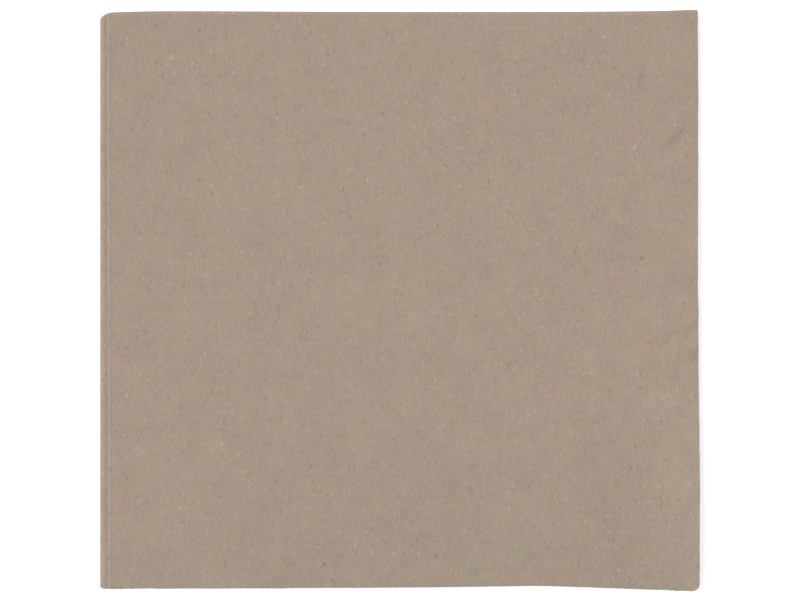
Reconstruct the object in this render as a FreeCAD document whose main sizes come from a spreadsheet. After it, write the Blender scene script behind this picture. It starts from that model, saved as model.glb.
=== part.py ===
import FreeCAD, Part
import math
import os
from collections import namedtuple

# A paper napkin, quarter folded: one sheet of paper folded in half and in half again.
# Lengths are in millimetres. X runs across the napkin, Y along it and Z up.
# The first fold is the edge at -X. The two layers of a pair turn into each other there, in a narrow U.
# The second fold is the edge at +Y. The lower pair turns over there and lies back on itself.
# The edges at +X and -Y are open, and show the cut edges of all four layers.
# The layers part in a margin along the right edge, and most of all at its corner with -Y.
# The origin is at the middle of the underside, on the surface that the napkin lies on.

SIZES = [
    ("sheet_width", 330.0, "flat sheet, across the first fold"),
    ("sheet_length", 323.0, "flat sheet, across the second fold"),
    ("paper_thickness", 0.5, "one layer of paper"),
    ("pair_gap", 0.2, "air between the two layers of a pair"),
    ("middle_gap", 0.2, "air between the lower and the upper pair"),
    ("fold_reach", 1.1, "how far the first fold's round reaches in"),
    ("step_at_fold", 2.0, "how far the upper pair is set in at the second fold"),
    ("step_at_opening", 2.3, "how far the upper pair is set in at the open edge"),
    ("corner_reach", 9.0, "closed corner, rounding along the second fold"),
    ("corner_depth", 1.0, "closed corner, rounding along the first fold"),
    ("corner_softening", 0.05, "closed corner, how far inside the first fold its rounding starts"),
    ("margin_width", 46.0, "margin at the right edge where the layers part"),
    ("flare", 0.5, "how far the second fold runs out at its open end"),
    ("second_layer_rise", 0.35, "lift of the second layer at the open corner"),
    ("third_layer_rise", 1.2, "lift of the third layer at the open corner"),
    ("top_layer_rise", 2.4, "lift of the top layer at the open corner"),
    ("rise_share_at_fold", 0.1, "share of each lift that is left at the second fold"),
    ("cut_rise", 0.8, "how far the cut edge runs in, up to the margin"),
    ("cut_drop", 0.45, "how far the cut edge runs out again, at the open corner"),
    ("open_corner_radius", 2.1, "rounding of each pair's open corner"),
    ("fold_end_radius", 0.8, "rounding of the lower pair's fold at its cut end"),
]

# A quarter turn is a Bezier curve, and these are the sine and the cosine of the turn at its poles.
ARC = 4 / 3 * (math.sqrt(2) - 1)
QUARTERS = [
    [(0, 1), (ARC, 1), (1, ARC), (1, 0)],
    [(1, 0), (1, -ARC), (ARC, -1), (0, -1)],
]

# A station is a pole along the sheet: its turn in the second fold, and its share of the run back from there.
Station = namedtuple("Station", "sine cosine back back_squared")
LOWER_RUN = [Station(0, 1, 1, 1), Station(0, 1, 0.5, 0), Station(0, 1, 0, 0)]
UPPER_RUN = [Station(0, -1, 0, 0), Station(0, -1, 0.5, 0), Station(0, -1, 1, 1)]
TURN = [[Station(sine, cosine, 0, 0) for sine, cosine in quarter] for quarter in QUARTERS]
ZONES = [LOWER_RUN, *TURN, UPPER_RUN]

SEWING_TOLERANCE = 1e-5
CUTTER_CLEARANCE = 1.0
# The fold end's cutter stands this far off, so that it doesn't only graze the fold's round back.
GRAZE = 0.02


def half_ellipse(reach, rise):
    """The length of half an ellipse, given its half axes."""
    return math.pi / 2 * (3 * (reach + rise) - math.sqrt((3 * reach + rise) * (reach + 3 * rise)))


def make_size_sheet(doc):
    sheet = doc.addObject("Spreadsheet::Sheet", "sizes")
    for row, (name, value, meaning) in enumerate(SIZES, start=1):
        sheet.set(f"A{row}", meaning)
        sheet.set(f"B{row}", str(value))
        sheet.setAlias(f"B{row}", name)
    doc.recompute()
    return sheet


class FoldedSheet:
    """The measures of the folded sheet, and the poles of its faces."""

    def __init__(self, sheet):
        for name, _, _ in SIZES:
            setattr(self, name, float(sheet.get(name)))
        self.pair_height = 2 * self.paper_thickness + self.pair_gap
        self.nose = self.pair_height / 2
        to_middle = self.paper_thickness / 2
        paper_in_nose = half_ellipse(self.fold_reach - to_middle, self.nose - to_middle)
        self.pair_width = (self.sheet_width - paper_in_nose) / 2 + self.fold_reach
        self.turn_radius = self.pair_height + self.middle_gap / 2
        paper_in_turn = math.pi * (self.turn_radius - to_middle)
        self.run = (self.sheet_length - paper_in_turn) / 2
        self.width = self.pair_width + self.step_at_opening
        self.margin_start = self.width - self.margin_width
        self.height = 2 * self.turn_radius + self.top_layer_rise
        self.left = -self.width / 2
        self.right = self.width / 2
        length = self.flare + self.turn_radius + self.run + self.cut_drop
        self.lowest = -length / 2
        self.crest = length / 2 - self.flare
        self.turn_y = self.crest - self.turn_radius
        parting = self.second_layer_rise + self.middle_gap + self.third_layer_rise
        self.middle_at_corner = self.pair_height + parting / 2

    def step(self, station):
        """How far the sheet is set in from the left edge: not below the second fold, and fully above it."""
        if station.cosine > 0:
            return self.step_at_fold * (1 - station.cosine)
        return self.step_at_fold + (self.step_at_opening - self.step_at_fold) * station.back

    def corner_line(self, x):
        """How far the second fold is drawn in at x, a distance from the left edge."""
        share = math.sqrt((x + self.corner_softening) / (self.corner_reach + self.corner_softening))
        return -self.corner_depth * (1 - min(1, share)) ** 2

    def corner_pole(self, x):
        """The corner line is a parabola, and this is where its tangent at x meets the straight fold."""
        ends = (x + self.corner_softening) * (self.corner_reach + self.corner_softening)
        return math.sqrt(ends) - self.corner_softening

    def cut_line(self, x):
        """How far the cut edge runs in at x, a distance from the left edge."""
        if x <= self.margin_start:
            return self.cut_rise * x / self.margin_start
        into_margin = (x - self.margin_start) / self.margin_width
        return self.cut_rise - (self.cut_rise + self.cut_drop) * into_margin

    def rise(self, inner, station):
        """How far a layer's outermost point in the margin lies above the layer's own plane."""
        upper = (1 - station.cosine) / 2
        rise = self.top_layer_rise * upper
        if inner:
            rise = self.second_layer_rise * (1 - upper) + self.third_layer_rise * upper
        along = self.rise_share_at_fold + (1 - self.rise_share_at_fold) * station.back_squared
        return rise * along

    def pole(self, station, x, depth, fold_shift=0.0, rise=0.0):
        """A pole at x from the left edge. The depth is from the pair's face outside both folds."""
        radius = self.turn_radius - depth
        shift = fold_shift * (1 - station.back) + self.cut_line(x) * station.back
        y = self.turn_y + radius * station.sine - self.run * station.back + shift
        z = self.turn_radius - radius * station.cosine + rise
        return FreeCAD.Vector(self.left + x, y, z)

    def face_strips(self, station, depth, inner):
        """One face of one layer: its closed corner, its flat part and its margin, from left to right."""
        start = self.step(station) + self.fold_reach
        end = self.step(station) + self.pair_width
        middle = (self.margin_start + end) / 2
        into_margin = ((end - self.margin_start) / self.margin_width) ** 2
        rise = self.rise(inner, station)
        corner = [
            self.pole(station, start, depth, self.corner_line(start)),
            self.pole(station, self.corner_pole(start), depth),
            self.pole(station, self.corner_reach, depth),
        ]
        margin = [
            self.pole(station, self.margin_start, depth),
            self.pole(station, middle, depth),
            self.pole(station, end, depth, self.flare * into_margin, rise * into_margin),
        ]
        return [corner, [corner[-1], margin[0]], margin]

    def nose_strips(self, station, inset):
        """The U at the first fold in two quarters, from the outer to the inner layer."""
        strips = []
        for quarter in QUARTERS:
            poles = []
            for sine, cosine in quarter:
                x = self.step(station) + self.fold_reach - (self.fold_reach - inset) * sine
                depth = self.nose - (self.nose - inset) * cosine
                poles.append(self.pole(station, x, depth, self.corner_line(x)))
            strips.append(poles)
        return strips

    def skin(self, station, inset):
        """One side of the paper at a station, inset from the pair's faces, as strips from cut to cut."""
        outer = self.face_strips(station, inset, False)
        inner = self.face_strips(station, self.pair_height - inset, True)
        nose = self.nose_strips(station, inset)
        return [strip[::-1] for strip in outer[::-1]] + nose + inner


def bezier_edge(poles):
    curve = Part.BezierCurve()
    curve.setPoles(poles)
    return curve.toShape()


def patch(rows):
    """The face with this grid of poles: a flat one where its border is flat, and else a Bezier surface."""
    last_column = [row[-1] for row in rows]
    first_column = [row[0] for row in rows]
    border = [rows[0], last_column, rows[-1][::-1], first_column[::-1]]
    wire = Part.Wire([bezier_edge(poles) for poles in border])
    if wire.findPlane():
        return Part.Face(wire)
    surface = Part.BSplineSurface()
    degrees = [len(rows) - 1, len(rows[0]) - 1]
    ends = [[degree + 1, degree + 1] for degree in degrees]
    surface.buildFromPolesMultsKnots(rows, *ends, [0, 1], [0, 1], False, False, *degrees)
    return surface.toShape()


def sheet_faces(folded):
    """Both sides of the paper, with its cut edges."""
    faces = []
    for zone in ZONES:
        outside = [folded.skin(station, 0.0) for station in zone]
        inside = [folded.skin(station, folded.paper_thickness) for station in zone]
        for skin in (outside, inside):
            for strip in zip(*skin):
                faces.append(patch(list(strip)))
        for place in (0, -1):
            rows = zip(outside, inside)
            faces.append(patch([[near[place][place], far[place][place]] for near, far in rows]))
    for station in (ZONES[0][0], ZONES[-1][-1]):
        for pair in zip(folded.skin(station, 0.0), folded.skin(station, folded.paper_thickness)):
            faces.append(patch(list(pair)))
    return faces


def sheet_solid(folded):
    sewn = Part.makeCompound(sheet_faces(folded))
    sewn.sewShape(SEWING_TOLERANCE)
    return Part.Solid(sewn.Shells[0]).removeSplitter()


def round_corner(doc, base, name, radius_size, corner, bottom, top, side):
    """Rounds an upright corner of the cut edge. The side is 1 at the right edge and -1 at the left."""
    radius = float(doc.sizes.get(radius_size))
    reach = radius + CUTTER_CLEARANCE
    x, y = corner
    middle_x = x - side * radius
    block_x = min(middle_x, middle_x + side * reach)
    post = doc.addObject("Part::Cylinder", f"{name}_post")
    post.setExpression("Radius", f"sizes.{radius_size}")
    post.Height = top - bottom
    post.Placement.Base = FreeCAD.Vector(middle_x, y + radius, bottom)
    block = doc.addObject("Part::Box", f"{name}_block")
    block.setExpression("Length", f"sizes.{radius_size} + {CUTTER_CLEARANCE}")
    block.setExpression("Width", f"sizes.{radius_size} + {CUTTER_CLEARANCE}")
    block.Height = top - bottom
    block.Placement.Base = FreeCAD.Vector(block_x, y - CUTTER_CLEARANCE, bottom)
    waste = doc.addObject("Part::Cut", f"{name}_waste")
    waste.Base = block
    waste.Tool = post
    rounded = doc.addObject("Part::Cut", f"{name}_rounded")
    rounded.Base = base
    rounded.Tool = waste
    return rounded


def rounded_sheet(doc, folded, square):
    """The folded sheet with the fold's cut end and both pairs' open corners rounded."""
    below = -CUTTER_CLEARANCE
    between = folded.middle_at_corner
    above = folded.height + CUTTER_CLEARANCE
    fold_end = (folded.left - GRAZE, folded.lowest + folded.cut_drop)
    lower_corner = (folded.right - folded.step_at_opening, folded.lowest)
    upper_corner = (folded.right, folded.lowest)
    part = round_corner(doc, square, "fold_end", "fold_end_radius", fold_end, below, above, -1)
    part = round_corner(doc, part, "lower_corner", "open_corner_radius", lower_corner, below, between, 1)
    return round_corner(doc, part, "upper_corner", "open_corner_radius", upper_corner, between, above, 1)


def check_objects(doc):
    for thing in doc.Objects:
        if "Invalid" in thing.State or "Error" in thing.State:
            raise RuntimeError(f"{thing.Label} failed: {thing.State}")


doc = FreeCAD.newDocument("paper_napkin")
folded = FoldedSheet(make_size_sheet(doc))

square = doc.addObject("Part::Feature", "square_sheet")
square.Shape = sheet_solid(folded)
square.Placement = FreeCAD.Placement()
napkin = rounded_sheet(doc, folded, square)
napkin.Label = "napkin_sheet"
doc.recompute()

check_objects(doc)
if napkin.Shape.isNull() or not napkin.Shape.isValid() or len(napkin.Shape.Solids) != 1:
    raise RuntimeError("the napkin isn't one valid solid")
os.makedirs("parts", exist_ok=True)
napkin.Shape.exportStep(f"parts/{napkin.Label}.step")

flat_volume = folded.sheet_width * folded.sheet_length * folded.paper_thickness
print(f"box {napkin.Shape.BoundBox}")
print(f"volume {napkin.Shape.Volume:.0f}, and {flat_volume:.0f} as a flat sheet")
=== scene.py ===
import math
from collections import namedtuple

import bpy
import numpy as np
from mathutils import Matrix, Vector


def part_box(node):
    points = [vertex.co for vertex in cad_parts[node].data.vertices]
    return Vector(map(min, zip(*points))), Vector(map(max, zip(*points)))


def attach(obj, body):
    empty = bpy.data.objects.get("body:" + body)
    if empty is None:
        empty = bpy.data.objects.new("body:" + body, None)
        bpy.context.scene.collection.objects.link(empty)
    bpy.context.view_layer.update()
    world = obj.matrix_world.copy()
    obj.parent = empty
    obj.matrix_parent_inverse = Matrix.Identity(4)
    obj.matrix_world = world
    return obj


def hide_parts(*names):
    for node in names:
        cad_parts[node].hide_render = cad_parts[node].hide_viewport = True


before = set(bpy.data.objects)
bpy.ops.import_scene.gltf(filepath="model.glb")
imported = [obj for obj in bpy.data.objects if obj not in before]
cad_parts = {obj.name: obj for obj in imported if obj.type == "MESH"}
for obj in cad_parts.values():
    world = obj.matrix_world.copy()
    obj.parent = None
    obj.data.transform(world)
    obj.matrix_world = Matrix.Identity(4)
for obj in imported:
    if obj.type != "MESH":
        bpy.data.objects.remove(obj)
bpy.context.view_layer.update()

# A paper napkin, quarter folded, seen from straight above on a white table.
# Lengths are in millimetres up to the last step, which makes the mesh in metres.
# X runs across the napkin, Y along it and Z up. The first fold is at -X and the second at +Y.
METRES = 0.001

# As in the solid: the flat sheet, its thickness, and the air in each pair of layers and between the pairs.
SHEET_WIDTH = 330.0
SHEET_LENGTH = 323.0
PAPER = 0.5
PAIR_GAP = 0.2
MIDDLE_GAP = 0.2
# How far each pair's first fold reaches out, and how far that of the upper pair is set in at both its ends.
FOLD_REACH = 1.1
STEP_AT_FOLD = 2.0
STEP_AT_OPENING = 2.3
# How far the solid's second fold runs out at its open end.
FLARE = 0.5

# The folds are a half oval and a half circle. What the paper in them leaves is each layer's flat run.
PAIR_HEIGHT = 2 * PAPER + PAIR_GAP
NOSE = PAIR_HEIGHT / 2
NOSE_REACH, NOSE_RISE = FOLD_REACH - PAPER / 2, NOSE - PAPER / 2
NOSE_MEAN = math.sqrt((3 * NOSE_REACH + NOSE_RISE) * (NOSE_REACH + 3 * NOSE_RISE))
PAPER_IN_NOSE = math.pi / 2 * (3 * (NOSE_REACH + NOSE_RISE) - NOSE_MEAN)
ACROSS = (SHEET_WIDTH - PAPER_IN_NOSE) / 2
TURN = PAIR_HEIGHT + MIDDLE_GAP / 2
PAPER_IN_TURN = math.pi * (TURN - PAPER / 2)
RUN = (SHEET_LENGTH - PAPER_IN_TURN) / 2

low, high = (np.array(corner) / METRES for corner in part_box("napkin_sheet"))
LEFT, RIGHT = low[0], high[0]
CREST = high[1] - FLARE

# The closed corner at the upper left, and the rounded open corners.
CORNER_REACH = 9.0
CORNER_DEPTH = 1.0
CORNER_SOFTENING = 0.05
OPEN_CORNER_RADIUS = 2.1
FOLD_END_RADIUS = 0.8

# How far the second fold runs out, by distance from the left edge.
CREST_LINE = [
    (4, 0.0), (7, 0.03), (12, 0.15), (22, 0.21), (56, 0.09),
    (90, 0.01), (128, 0.05), (145, 0.15), (156, 0.27), (166, 0.6),
]
# How far the bottom edge runs in, by distance from the left edge.
CUT_LINE = [
    (0, -0.2), (4, -0.14), (9, -0.05), (28, -0.03), (56, 0.13), (84, 0.26),
    (112, 0.58), (121, 0.75), (134, 0.43), (151, -0.18), (160, -0.46), (165, -0.56),
]
# How far the right edge runs out, by distance from the second fold.
RIGHT_LINE = [
    (0, -0.06), (25, -0.03), (39, -0.03), (53, -0.14), (67, -0.21), (81, -0.14), (95, -0.07), (109, -0.02),
    (122, 0.12), (136, 0.16), (148, 0.07), (161, 0.03),
]
RIGHT_LINE_REACH = 60.0

# How high the top layer is lifted at its right edge, by distance from the second fold: a wide, even lift.
MARGIN_LIFT = [(0, 0.2), (25, 0.5), (50, 0.5), (75, 0.6), (100, 0.7), (125, 0.4), (161, 0.4)]
MARGIN_WIDTH = 30.0
MARGIN_BEND = 1.3
# The same for a narrower lift, which rises to the open corner.
EDGE_LIFT = [
    (0, 0.0), (40, 0.15), (60, 0.5), (80, 0.7), (100, 0.5), (109, 0.4), (120, 1.1), (130, 1.5), (161, 1.9),
]
EDGE_WIDTH = [(0, 14), (109, 13), (125, 12.5), (142, 15.5), (152, 14), (161, 12.5)]
EDGE_BEND = 1.2
# How much of the top layer's lift the layers under it take.
SECOND_LAYER_SHARE = 0.15
THIRD_LAYER_SHARE = 0.5

# A soft swelling beside the crease of the lifted margin.
Swelling = namedtuple("Swelling", "x y reach_x reach_y height")
SWELLING = Swelling(47.5, -66.0, 13.0, 36.0, 0.55)

# A furrow's path has a depth at each of its places. Its widths are those of its sides, seen along its way.
Furrow = namedtuple("Furrow", "path left right")
FURROWS = [
    Furrow([(84.5, 45, 0.65), (79.4, 45.8, 0.65), (75.8, 42.3, 0.5), (70.8, 41, 0.2), (68, 37, 0)], 3.2, 1.6),
    Furrow([(69.5, 39, 0), (66.6, 27, 0.18), (63.6, 1.5, 0.14), (60.4, -23, 0.12), (60, -42, 0)], 4.5, 3.0),
    Furrow([(68.4, 55.5, 0), (68.6, 62.8, 0.4), (68.5, 67.0, 0)], 1.6, 2.1),
    Furrow([(71.8, 4.6, 0), (77.8, 3.1, 0.6), (84.5, 3.3, 1.15)], 4.6, 3.8),
    Furrow([(70.1, -15.3, 0), (76.8, -10.8, 0.5), (84.5, -8.7, 0.65)], 2.3, 2.9),
    Furrow([(74.5, -20.3, 0), (79, -18.4, 0.35), (84.5, -16.3, 0.9)], 3.0, 4.0),
    Furrow([(76.6, -24.4, 0), (78.6, -22.2, 0.25), (80.2, -20.6, 0)], 0.9, 0.9),
    Furrow([(61.5, -28.4, 0), (66.5, -28.0, 0.27), (73.6, -25.2, 0)], 2.0, 3.0),
]

# How close the mesh's lines lie: along cuts, along folds, on the faces that show and on the hidden ones.
CUT_STEP = 0.35
FOLD_STEP = 0.22
FACE_STEP = 2.6
HIDDEN_STEP = 5.0
STEP_GROWTH = 0.16
# They lie closer where the furrows are: a stretch past each fold, and the step there.
Fine = namedtuple("Fine", "start end step")
FINE_COLUMNS = Fine(ACROSS - 19, ACROSS, 0.55)
FINE_ROWS = Fine(30, 112, 0.7)
NOSE_STEPS = 10
TURN_STEPS = 16

# The cut edge is a little rounded and uneven.
CUT_BULGE = 0.06
CUT_UNEVENNESS = 0.03
CUT_SEED = 7
SHARP_ANGLE = math.radians(40)

# Linear colour of the paper under a light of strength 1.
PAPER_COLOUR = (0.386, 0.301, 0.238)
# It wavers in blobs, with their sizes along the flat sheet's width and length and into the paper.
Blobs = namedtuple("Blobs", "size gain detail roughness seed")
# Those of the tone.
FINE_GRAIN = Blobs((0.27, 0.36, 1.0), 0.31, 1.0, 0.5, 0.0)
LONG_GRAIN = Blobs((0.76, 2.2, 1.0), 0.12, 1.0, 0.5, 61.3)
CLOUDS = Blobs((13.0, 15.0, 13.0), 0.35, 4.0, 1.0, 5.0)
PATCHES = Blobs((60.0, 75.0, 60.0), 0.05, 1.0, 0.5, 8.0)
# Those of the hue, with a gain for red, green and blue.
WARMTH = Blobs((9.0, 10.0, 9.0), (0.12, -0.1, -0.02), 4.0, 0.9, 14.0)
DRYNESS = Blobs((8.0, 9.0, 8.0), (0.0, 0.08, -0.12), 4.0, 0.9, 29.0)
# Fibres and specks are the peaks of finer noise.
Fibres = namedtuple("Fibres", "size gain start end seed")
FIBRES = [
    Fibres((0.31, 2.1, 1.0), 0.31, 0.60, 0.78, 3.1),
    Fibres((0.31, 2.1, 1.0), -0.27, 0.63, 0.81, 11.7),
    Fibres((0.98, 0.28, 1.0), 0.19, 0.62, 0.80, 23.9),
    Fibres((0.98, 0.28, 1.0), -0.21, 0.62, 0.80, 37.3),
    Fibres((0.7, 0.8, 1.0), -0.2, 0.76, 0.84, 51.1),
    Fibres((0.7, 0.8, 1.0), 0.15, 0.74, 0.84, 71.9),
]
# A slow waver of the place bends them, and the tone stands up as a fine relief.
CURL_SCALE = 0.45
CURL = (2.6, 1.6, 0.0)
RELIEF = 0.1
# Painted shade: the paper is painted a little darker and less red towards its open edge, for the weaker light
# there, but not at its fold.
OPENING_PAINTED_SHADE = 0.045
OPENING_PAINTED_SHADE_REACH = (92.0, 165.0)
OPENING_SHADE_FOLD_REACH = (2.0, 45.0)
OPENING_SHADE_HUE = (-0.015, 0.005, 0.0)
# Painted light and shade round the first fold: the lower pair is painted a little lighter and the upper pair
# a little darker, for how the lamp falls on the two folds.
LOWER_FOLD_PAINTED_LIGHT = 0.05
UPPER_FOLD_PAINTED_SHADE = -0.06
FOLD_PAINTED_LIGHT_REACH = (0.9, 1.7)
# The rest of its finish is the same all over.
PAPER_FINISH = {
    "Roughness": 0.92,
    "Specular IOR Level": 0.25,
    "Sheen Weight": 0.05,
    "Sheen Roughness": 0.6,
}

# The photo's frame is this wide on the table, seen from a metre up.
CAMERA_HEIGHT = 1000.0
FRAME_WIDTH = 224.0
CAMERA_X = 0.24
CAMERA_Y = -0.05

# Part of the light comes from the room, and the rest from a wide lamp up on the left.
ROOM_SHARE = 0.42
LAMP_ELEVATION = math.radians(50)
LAMP_TURN = math.radians(28)
LAMP_SPREAD = math.radians(40)
WHITE = (1, 1, 1, 1)

# The table lies just under the napkin, and is pure white to the eye.
# In the light that it throws on the napkin it is a plain pale grey.
TABLE_SIZE = 8000.0
TABLE_DROP = 0.05
TABLE_GREY = (0.8, 0.8, 0.8, 1)
TABLE_GLOW = 0.6


def smooth_curve(points, at):
    """The smooth curve through a few points, read at the given places."""
    place, height = np.array(points, float).T
    slope = np.gradient(height, place)
    k = np.clip(np.searchsorted(place, at) - 1, 0, len(place) - 2)
    width = place[k + 1] - place[k]
    s = np.clip((at - place[k]) / width, 0, 1)
    values = height[k] * (1 + 2 * s) * (1 - s) ** 2 + height[k + 1] * s**2 * (3 - 2 * s)
    return values + width * s * (1 - s) * (slope[k] * (1 - s) - slope[k + 1] * s)


def smooth_step(share):
    """Eases a share from 0 to 1 at both ends."""
    share = np.clip(share, 0, 1)
    return share * share * (3 - 2 * share)


def spaced(length, widest, fine):
    """Places from a fold to a cut, close together near both and in the fine stretch."""
    places = [0.0]
    while places[-1] < length:
        here = places[-1]
        step = min(widest, FOLD_STEP + STEP_GROWTH * here, CUT_STEP + STEP_GROWTH * max(0, length - here))
        if fine:
            outside = max(0, fine.start - here, here - fine.end)
            step = min(step, fine.step + STEP_GROWTH * outside)
        places.append(here + step)
    return np.array(places) * length / places[-1]


def lines_over_fold(run, turns, first_steps, second_steps):
    """The mesh's lines from one cut edge over a fold to the other: angle round the fold, and way past it."""
    first = spaced(run, *first_steps)[::-1]
    second = spaced(run, *second_steps)
    between = np.linspace(0, math.pi, turns + 1)[1:-1]
    angle = np.concatenate([0 * first, between, 0 * second + math.pi])
    past = np.concatenate([first, 0 * between, second])
    return angle, past


def flat_place(angle, past, paper_in_fold):
    """Where a line lies on the flat sheet, from the middle of the fold."""
    return np.where(angle < math.pi / 2, -past, past) + paper_in_fold * (angle / math.pi - 0.5)


def rounded_into(x, y, radius):
    """How far points near an open corner, given by their distances from its edges, move in to round it."""
    p = np.clip((radius - x) / radius, 0, 1)
    q = np.clip((radius - y) / radius, 0, 1)
    return p * (1 - np.sqrt(1 - q * q / 2)) * radius, q * (1 - np.sqrt(1 - p * p / 2)) * radius


def corner_line(x):
    """How far the second fold is drawn in at the closed corner."""
    share = np.sqrt((x + CORNER_SOFTENING) / (CORNER_REACH + CORNER_SOFTENING))
    return CORNER_DEPTH * (1 - np.minimum(1, share)) ** 2


def fold_end_line(x):
    """How far the cut runs in at the end of the first fold."""
    short = np.clip(FOLD_END_RADIUS - x, 0, FOLD_END_RADIUS)
    return FOLD_END_RADIUS - np.sqrt(FOLD_END_RADIUS**2 - short**2)


def furrow_depth(furrow, x, y):
    """How deep a furrow is at each point."""
    nearest = np.full(x.shape, np.inf)
    width = depth = 0 * x
    for start, end in zip(furrow.path[:-1], furrow.path[1:]):
        length = math.dist(start[:2], end[:2])
        way_x, way_y = (end[0] - start[0]) / length, (end[1] - start[1]) / length
        run = np.clip((x - start[0]) * way_x + (y - start[1]) * way_y, 0, length)
        off_x, off_y = x - start[0] - run * way_x, y - start[1] - run * way_y
        closer = np.hypot(off_x, off_y) < nearest
        nearest = np.where(closer, np.hypot(off_x, off_y), nearest)
        side = np.where(off_x * way_y > off_y * way_x, furrow.right, furrow.left)
        width = np.where(closer, side, width)
        depth = np.where(closer, start[2] + (end[2] - start[2]) * smooth_step(run / length), depth)
    return depth * np.exp(-((nearest / width) ** 2))


def top_layer_height(x, y, from_left, from_crest):
    """How much higher than flat the top layer lies."""
    to_edge = RIGHT - LEFT - from_left
    into_margin = np.clip(1 - to_edge / MARGIN_WIDTH, 0, None)
    into_edge = np.clip(1 - to_edge / smooth_curve(EDGE_WIDTH, from_crest), 0, None)
    height = smooth_curve(MARGIN_LIFT, from_crest) * into_margin**MARGIN_BEND
    height = height + smooth_curve(EDGE_LIFT, from_crest) * into_edge**EDGE_BEND
    off_x = (x - SWELLING.x) / SWELLING.reach_x
    off_y = (y - SWELLING.y) / SWELLING.reach_y
    height = height + SWELLING.height * np.exp(-(off_x**2) - off_y**2)
    for furrow in FURROWS:
        height = height - furrow_depth(furrow, x, y)
    return height


def folded_sheet(columns, rows, inset):
    """The points of one skin of the paper, by row and column, at a depth under its outer face."""
    theta, across = (line[None, :] for line in columns)
    phi, back = (line[:, None] for line in rows)
    upper = (1 - np.cos(phi)) / 2
    inner = (1 - np.cos(theta)) / 2
    share_back = back / RUN

    nose = NOSE - inset
    set_in = 1 - np.clip(np.cos(phi), 0, 1)
    step = set_in * STEP_AT_FOLD + upper * (STEP_AT_OPENING - STEP_AT_FOLD) * share_back
    from_left = step + FOLD_REACH - (FOLD_REACH - inset) * np.sin(theta) + across
    radius = TURN - NOSE + nose * np.cos(theta)
    from_crest = TURN - radius * np.sin(phi) + back
    height = TURN - radius * np.cos(phi)

    over_fold = smooth_curve(CREST_LINE, from_left) - corner_line(from_left)
    at_cut = smooth_curve(CUT_LINE, from_left)
    fold_end = fold_end_line(from_left - step) * np.clip(1 - (RUN - back) / FOLD_END_RADIUS, 0, 1)
    edge_share = np.clip(1 - (RIGHT - LEFT - from_left) / RIGHT_LINE_REACH, 0, 1) ** 2
    inward_x, inward_y = rounded_into(ACROSS - across, RUN - back, OPEN_CORNER_RADIUS)

    x = LEFT + from_left + smooth_curve(RIGHT_LINE, from_crest) * edge_share - inward_x
    y = CREST - from_crest + over_fold * (1 - share_back) + at_cut * share_back + fold_end + inward_y
    share = (1 - inner) * upper + inner * (SECOND_LAYER_SHARE * (1 - upper) + THIRD_LAYER_SHARE * upper)
    z = height + share * top_layer_height(x, y, from_left, from_crest)
    return np.stack([x, y, z], axis=-1)


def border(rows, columns):
    """The numbers of the points along the sheet's edge, all the way round."""
    number = np.arange(rows * columns).reshape(rows, columns)
    sides = [number[0, :-1], number[:-1, -1], number[-1, :0:-1], number[:0:-1, 0]]
    return np.concatenate(sides)


def skin_faces(rows, columns):
    """The faces of one skin of the paper."""
    number = np.arange(rows * columns).reshape(rows, columns)
    corners = [number[:-1, :-1], number[:-1, 1:], number[1:, 1:], number[1:, :-1]]
    return np.stack(corners, axis=-1).reshape(-1, 4)


def band_faces(first, second):
    """The faces between two closed rings of points."""
    return np.stack([np.roll(first, -1), first, second, np.roll(second, -1)], axis=-1)


def cut_middle(middle, through):
    """The cut edge's middle line, moved a little outwards, from the way through the paper at each point."""
    chance = np.random.default_rng(CUT_SEED)
    before, after = np.roll(middle, 1, axis=0), np.roll(middle, -1, axis=0)
    outward = np.cross(through, after - before)
    outward /= np.linalg.norm(outward, axis=1)[:, None]
    bulge = CUT_BULGE + CUT_UNEVENNESS * chance.standard_normal(len(middle))
    return middle + outward * bulge[:, None]


def napkin_mesh():
    """The folded sheet as one closed mesh: its outer skin, its inner skin and the rounded cut between."""
    columns = lines_over_fold(ACROSS, NOSE_STEPS, (FACE_STEP, FINE_COLUMNS), (HIDDEN_STEP, None))
    rows = lines_over_fold(RUN, TURN_STEPS, (HIDDEN_STEP, None), (FACE_STEP, FINE_ROWS))
    count = len(rows[0]), len(columns[0])
    edge = border(*count)

    outer = folded_sheet(columns, rows, 0.0).reshape(-1, 3)
    inner = folded_sheet(columns, rows, PAPER).reshape(-1, 3)
    middle = folded_sheet(columns, rows, PAPER / 2).reshape(-1, 3)[edge]
    middle = cut_middle(middle, inner[edge] - outer[edge])

    points = np.concatenate([outer, inner, middle])
    ring = len(outer) * 2 + np.arange(len(edge))
    outer_faces = skin_faces(*count)
    inner_faces = outer_faces[:, ::-1] + len(outer)
    rim = [band_faces(edge, ring), band_faces(ring, edge + len(outer))]
    faces = np.concatenate([outer_faces, inner_faces, *rim])

    mesh = bpy.data.meshes.new("napkin")
    mesh.from_pydata((points * METRES).tolist(), [], faces.tolist())
    u, v = np.meshgrid(flat_place(*columns, PAPER_IN_NOSE), flat_place(*rows, PAPER_IN_TURN))
    flat = np.stack([u, v], axis=-1).reshape(-1, 2)
    add_map(mesh, "flat_sheet", np.concatenate([flat, flat, flat[edge]]) * METRES)
    depth = np.repeat([0, PAPER, PAPER / 2], [len(outer), len(inner), len(edge)])
    add_map(mesh, "paper_depth", np.stack([depth, 0 * depth], axis=-1) * METRES)
    mesh.polygons.foreach_set("use_smooth", [True] * len(mesh.polygons))
    mesh.set_sharp_from_angle(angle=SHARP_ANGLE)
    return mesh


def add_map(mesh, name, places):
    """Keeps a pair of numbers with each point, as a UV map that the material reads."""
    corners = np.empty(len(mesh.loops), int)
    mesh.loops.foreach_get("vertex_index", corners)
    mesh.uv_layers.new(name=name).uv.foreach_set("vector", places[corners].ravel())


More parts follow.
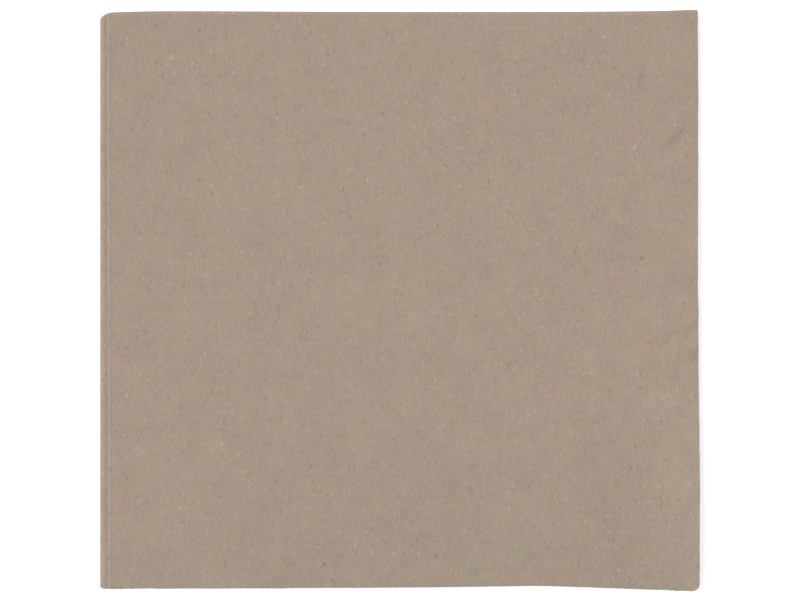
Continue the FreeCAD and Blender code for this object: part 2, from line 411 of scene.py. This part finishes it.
class Nodes:
    """Adds shader nodes to a material or a world."""

    def __init__(self, owner):
        owner.use_nodes = True
        self.tree = owner.node_tree

    def add(self, kind, settings=None, **inputs):
        """A new node with these settings and inputs."""
        node = self.tree.nodes.new(f"ShaderNode{kind}")
        for name, value in (settings or {}).items():
            setattr(node, name, value)
        for name, value in inputs.items():
            self.set(node, name.replace("_", " "), value)
        return node

    def set(self, node, name, value):
        """Gives an input a value, or links it to an output."""
        socket = node.inputs[int(name)] if name.isdigit() else node.inputs[name]
        if isinstance(value, bpy.types.NodeSocket):
            self.tree.links.new(value, socket)
        else:
            socket.default_value = value

    def worked_out(self, kind, operation, values):
        """The result of one operation."""
        node = self.add(kind, {"operation": operation})
        for place, value in enumerate(values):
            self.set(node, str(place), value)
        return node.outputs[0]

    def math(self, operation, *values):
        """A number worked out from others."""
        return self.worked_out("Math", operation, values)

    def vector(self, operation, *values):
        """A vector worked out from others, part by part."""
        return self.worked_out("VectorMath", operation, values)

    def noise(self, place, stretch, detail=1.0, roughness=0.5, seed=0.0):
        """Noise with blobs of these sizes in millimetres along the sheet's width, length and depth."""
        scaled = self.vector("DIVIDE", place, stretch)
        moved = self.vector("ADD", scaled, (seed, seed, seed))
        node = self.add("TexNoise", Vector=moved, Scale=1.0, Detail=detail, Roughness=roughness)
        return node.outputs["Fac"]

    def waver(self, place, blobs):
        """Noise about nought, of these blobs."""
        noise = self.noise(place, blobs.size, blobs.detail, blobs.roughness, blobs.seed)
        return self.math("SUBTRACT", noise, 0.5)

    def scaled(self, vector, share):
        """A vector times a number."""
        return self.add("VectorMath", {"operation": "SCALE"}, Vector=vector, Scale=share).outputs[0]

    def ramp(self, value, start, end):
        """Rises smoothly from 0 to 1 as the value goes from start to end."""
        node = self.add("MapRange", {"interpolation_type": "SMOOTHSTEP"}, Value=value)
        self.set(node, "From Min", start)
        self.set(node, "From Max", end)
        return node.outputs[0]


def sheet_place(nodes):
    """The place in the paper in millimetres: across the flat sheet, along it and into it."""
    flat = nodes.add("UVMap", {"uv_map": "flat_sheet"}).outputs[0]
    depth = nodes.add("UVMap", {"uv_map": "paper_depth"}).outputs[0]
    flat = nodes.add("SeparateXYZ", Vector=flat)
    depth = nodes.add("SeparateXYZ", Vector=depth)
    place = nodes.add("CombineXYZ", X=flat.outputs["X"], Y=flat.outputs["Y"], Z=depth.outputs["X"])
    return nodes.vector("DIVIDE", place.outputs[0], (METRES, METRES, METRES))


def curled_place(nodes, place):
    """The place, bent to and fro, so that the grain and the fibres curl."""
    curl = nodes.add("TexNoise", Vector=place, Scale=CURL_SCALE, Detail=1.0).outputs["Color"]
    curl = nodes.vector("MULTIPLY", nodes.vector("SUBTRACT", curl, (0.5, 0.5, 0.5)), CURL)
    return nodes.vector("ADD", place, curl)


def near_opening(nodes, across, along):
    """The mask of the painted shade: how near a place on the top layer is to the open edge across from the
    second fold, from 0 to 1.
    """
    towards_opening = nodes.ramp(along, *OPENING_PAINTED_SHADE_REACH)
    from_fold = nodes.ramp(nodes.math("MULTIPLY", across, -1.0), *OPENING_SHADE_FOLD_REACH)
    return nodes.math("MULTIPLY", towards_opening, from_fold)


def with_fold_tone(nodes, tone, across, along):
    """The tone, with painted light round the lower pair's first fold and painted shade round the upper
    pair's.
    """
    past_fold = nodes.ramp(nodes.math("ABSOLUTE", across), *FOLD_PAINTED_LIGHT_REACH)
    fold_light_mask = nodes.math("SUBTRACT", 1.0, past_fold)
    upper = nodes.math("GREATER_THAN", along, 0.0)
    change = nodes.math("MULTIPLY_ADD", upper, UPPER_FOLD_PAINTED_SHADE - LOWER_FOLD_PAINTED_LIGHT, LOWER_FOLD_PAINTED_LIGHT)
    return nodes.math("MULTIPLY_ADD", fold_light_mask, change, tone)


def paper_material():
    """Unbleached paper: a fine grain, short light and dark fibres, a few specks and a cloudy tone, with
    painted shade towards the open edge and painted light and shade round the first fold.
    """
    material = bpy.data.materials.new("kraft_paper")
    nodes = Nodes(material)
    place = sheet_place(nodes)
    curled = curled_place(nodes, place)
    across, along, _ = nodes.add("SeparateXYZ", Vector=place).outputs
    opening_shade = near_opening(nodes, across, along)

    # Painted shade towards the open edge, then painted light and shade round the first fold.
    tone = nodes.math("MULTIPLY_ADD", opening_shade, -OPENING_PAINTED_SHADE, 1.0)
    tone = with_fold_tone(nodes, tone, across, along)
    for blobs in (FINE_GRAIN, LONG_GRAIN, CLOUDS, PATCHES):
        tone = nodes.math("MULTIPLY_ADD", nodes.waver(curled, blobs), blobs.gain, tone)
    for fibres in FIBRES:
        peaks = nodes.ramp(nodes.noise(curled, fibres.size, seed=fibres.seed), fibres.start, fibres.end)
        tone = nodes.math("MULTIPLY_ADD", peaks, fibres.gain, tone)

    hue = (1.0, 1.0, 1.0)
    for blobs in (WARMTH, DRYNESS):
        hue = nodes.vector("ADD", nodes.scaled(blobs.gain, nodes.waver(curled, blobs)), hue)
    # The painted shade towards the open edge is also a little less red.
    hue = nodes.vector("ADD", nodes.scaled(OPENING_SHADE_HUE, opening_shade), hue)
    colour = nodes.vector("MULTIPLY", nodes.scaled(PAPER_COLOUR, tone), hue)
    relief = nodes.add("Bump", Height=tone, Strength=1.0, Distance=RELIEF * METRES).outputs[0]

    shader = nodes.tree.nodes["Principled BSDF"]
    nodes.set(shader, "Base Color", colour)
    nodes.set(shader, "Normal", relief)
    for name, value in PAPER_FINISH.items():
        nodes.set(shader, name, value)
    return material


def napkin():
    """The napkin, which stands for the solid."""
    piece = bpy.data.objects.new("napkin", napkin_mesh())
    bpy.context.scene.collection.objects.link(piece)
    piece.data.materials.append(paper_material())
    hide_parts("napkin_sheet")
    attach(piece, "root")


def seen_directly(nodes):
    """1 for what the camera sees by itself or in a gloss or through glass, and else 0."""
    rays = nodes.add("LightPath").outputs
    gloss = nodes.math("MAXIMUM", rays["Is Glossy Ray"], rays["Is Transmission Ray"])
    return nodes.math("MAXIMUM", rays["Is Camera Ray"], gloss)


def table():
    """A white table top, which keeps the napkin's shadow."""
    half = TABLE_SIZE / 2 * METRES
    mesh = bpy.data.meshes.new("table")
    corners = [(-half, -half), (half, -half), (half, half), (-half, half)]
    mesh.from_pydata([(x, y, -TABLE_DROP * METRES) for x, y in corners], [], [(0, 1, 2, 3)])
    piece = bpy.data.objects.new("table", mesh)
    bpy.context.scene.collection.objects.link(piece)

    material = bpy.data.materials.new("white_table")
    nodes = Nodes(material)
    plain = nodes.add("BsdfDiffuse", Color=TABLE_GREY).outputs[0]
    white = nodes.add("BsdfDiffuse", Color=WHITE).outputs[0]
    glow = nodes.add("Emission", Color=WHITE, Strength=TABLE_GLOW).outputs[0]
    bright = nodes.add("AddShader", **{"0": white, "1": glow}).outputs[0]
    mixed = nodes.add("MixShader", **{"0": seen_directly(nodes), "1": plain, "2": bright}).outputs[0]
    nodes.set(nodes.tree.nodes["Material Output"], "Surface", mixed)
    mesh.materials.append(material)


def light():
    """Even light from the room, and a wide soft lamp up on the left."""
    world = bpy.data.worlds.new("room")
    bpy.context.scene.world = world
    nodes = Nodes(world)
    background = nodes.tree.nodes["Background"]
    nodes.set(background, "Color", WHITE)
    strength = nodes.math("MAXIMUM", seen_directly(nodes), ROOM_SHARE)
    nodes.set(background, "Strength", strength)

    lamp = bpy.data.lights.new("lamp", "SUN")
    lamp.angle = LAMP_SPREAD
    lamp.energy = (1 - ROOM_SHARE) * math.pi / math.sin(LAMP_ELEVATION)
    holder = bpy.data.objects.new("lamp", lamp)
    level = math.cos(LAMP_ELEVATION)
    way = Vector((-level * math.cos(LAMP_TURN), level * math.sin(LAMP_TURN), math.sin(LAMP_ELEVATION)))
    holder.rotation_euler = way.to_track_quat("Z", "Y").to_euler()
    bpy.context.scene.collection.objects.link(holder)


def camera():
    """Looks straight down on the napkin's middle, with +Y up in the picture."""
    lens = bpy.data.cameras.new("camera")
    lens.sensor_fit = "HORIZONTAL"
    lens.angle = 2 * math.atan(FRAME_WIDTH / 2 / CAMERA_HEIGHT)
    holder = bpy.data.objects.new("camera", lens)
    holder.location = Vector((CAMERA_X, CAMERA_Y, CAMERA_HEIGHT)) * METRES
    bpy.context.scene.collection.objects.link(holder)
    bpy.context.scene.camera = holder


bpy.context.scene.view_settings.view_transform = "Standard"
napkin()
table()
light()
camera()
